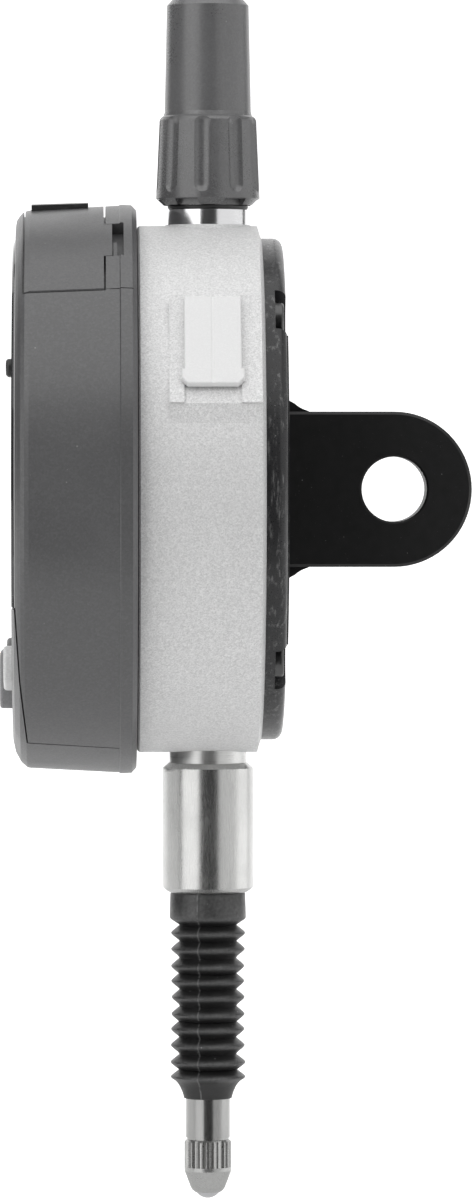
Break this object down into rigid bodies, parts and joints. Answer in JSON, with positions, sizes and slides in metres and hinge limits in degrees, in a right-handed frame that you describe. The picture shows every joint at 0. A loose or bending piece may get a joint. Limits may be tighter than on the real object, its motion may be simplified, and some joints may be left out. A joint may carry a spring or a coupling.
{
  "type": "digital dial indicator",
  "caption": "Plunger indicator with a round swivelling display head, lug back, clamping stem, rubber bellows and knurled ball contact.",
  "frame": {"origin": "middle of the straight part of the clamping stem, on its axis", "axes": "+Z along the spindle away from the contact point, -Y out of the display, +Y along the lug"},
  "size_m": [0.0594, 0.0492, 0.1254],
  "materials": {
    "satin_case": "fine-grained satin silver",
    "ground_steel": "fine ground",
    "polished_steel": "polished",
    "chromed_neck": "bright",
    "plain_steel": "turned",
    "bronze": "sintered",
    "head_grey": "fine spark-eroded grain",
    "cover_black": "semi-gloss",
    "cap_grey": "satin",
    "tab_silver": "satin silver",
    "black_rubber": "matte",
    "black_moulding": "matte",
    "window": "clear gloss",
    "lcd_glass": "grey-green",
    "board_green": "solder mask",
    "chip_black": "moulded",
    "gold_contact": "plated",
    "cell_steel": "satin",
    "light_key": "satin",
    "mid_key": "satin",
    "dark_key": "satin",
    "carbide": "lapped",
    "flex_amber": "polyimide",
    "screw_steel": "blackened"
  },
  "bodies": {
    "case": {"housing": "satin_case", "back_gasket": "black_rubber", "back_cover": "cover_black", "back_screws": "screw_steel", "stem_tube": "plain_steel", "stem_sleeve": "ground_steel", "lower_bush": "bronze", "top_neck": "chromed_neck", "upper_bush": "bronze", "cap_seal": "black_rubber", "guide_rail": "bronze", "guide_rail_screws": "screw_steel", "stop_buffer": "black_rubber", "read_head_board": "board_green", "read_head_chip": "chip_black", "board_screws": "screw_steel", "port_connector": "black_moulding", "port_pins": "gold_contact", "swivel_washer": "plain_steel", "stop_pin": "plain_steel"},
    "plunger": {"spindle": "polished_steel", "contact_point": "plain_steel", "contact_ball": "carbide", "bellows": "black_rubber", "carrier": "plain_steel", "carrier_screw": "screw_steel", "guide_pin": "plain_steel", "scale_strip": "lcd_glass", "return_spring": "plain_steel"},
    "head": {"swivel_hub": "bronze", "swivel_clip": "plain_steel", "spiral_flex": "flex_amber", "bezel": "head_grey", "rear_ring": "head_grey", "ring_screws": "screw_steel", "keypad_cover": "head_grey", "lens": "window", "keypad_mat": "black_rubber", "lcd_panel": "lcd_glass", "lcd_frame": "black_moulding", "contact_strip": "black_rubber", "display_board": "board_green", "display_chip": "chip_black", "upper_switch": "black_moulding", "battery": "cell_steel", "battery_guide": "black_moulding", "battery_contacts": "gold_contact", "latch_tabs": "head_grey"},
    "door": {"battery_door": "head_grey", "door_grip": "black_rubber"},
    "screw_cap": {"cap": "cap_grey"},
    "port_tab": {"port_cover": "tab_silver"},
    "zero_button": {"zero_key": "mid_key"},
    "right_button": {"right_key": "light_key"},
    "left_button": {"left_key": "dark_key"},
    "upper_button": {"upper_key": "dark_key"}
  },
  "joints": [
    {"name": "plunger_slide", "type": "slide", "parent": "case", "child": "plunger", "axis": [0, 0, 1], "range_m": [0, 0.0125], "stiffness_N_per_m": 25, "springref_m": -0.03, "deforming": ["bellows", "return_spring"]},
    {"name": "head_swivel", "type": "hinge", "parent": "case", "child": "head", "pos_m": [0, 0, 0.0354], "axis": [0, 1, 0], "range_deg": [-135, 135]},
    {"name": "door_lift", "type": "slide", "parent": "head", "child": "door", "axis": [0, 0, 1], "range_m": [0, 0.012]},
    {"name": "cap_lift", "type": "slide", "parent": "case", "child": "screw_cap", "axis": [0, 0, 1], "range_m": [0, 0.02]},
    {"name": "port_tab_pull", "type": "slide", "parent": "case", "child": "port_tab", "axis": [0.866, 0, 0.5], "range_m": [0, 0.008]},
    {"name": "zero_press", "type": "slide", "parent": "head", "child": "zero_button", "axis": [0, 1, 0], "range_m": [0, 0.0005], "stiffness_N_per_m": 1500, "springref_m": -0.0004},
    {"name": "right_press", "type": "slide", "parent": "head", "child": "right_button", "axis": [0, 1, 0], "range_m": [0, 0.0005], "stiffness_N_per_m": 1500, "springref_m": -0.0004},
    {"name": "left_press", "type": "slide", "parent": "head", "child": "left_button", "axis": [0, 1, 0], "range_m": [0, 0.0005], "stiffness_N_per_m": 1500, "springref_m": -0.0004},
    {"name": "upper_press", "type": "slide", "parent": "head", "child": "upper_button", "axis": [0, 1, 0], "range_m": [0, 0.0005], "stiffness_N_per_m": 1500, "springref_m": -0.0004}
  ]
}
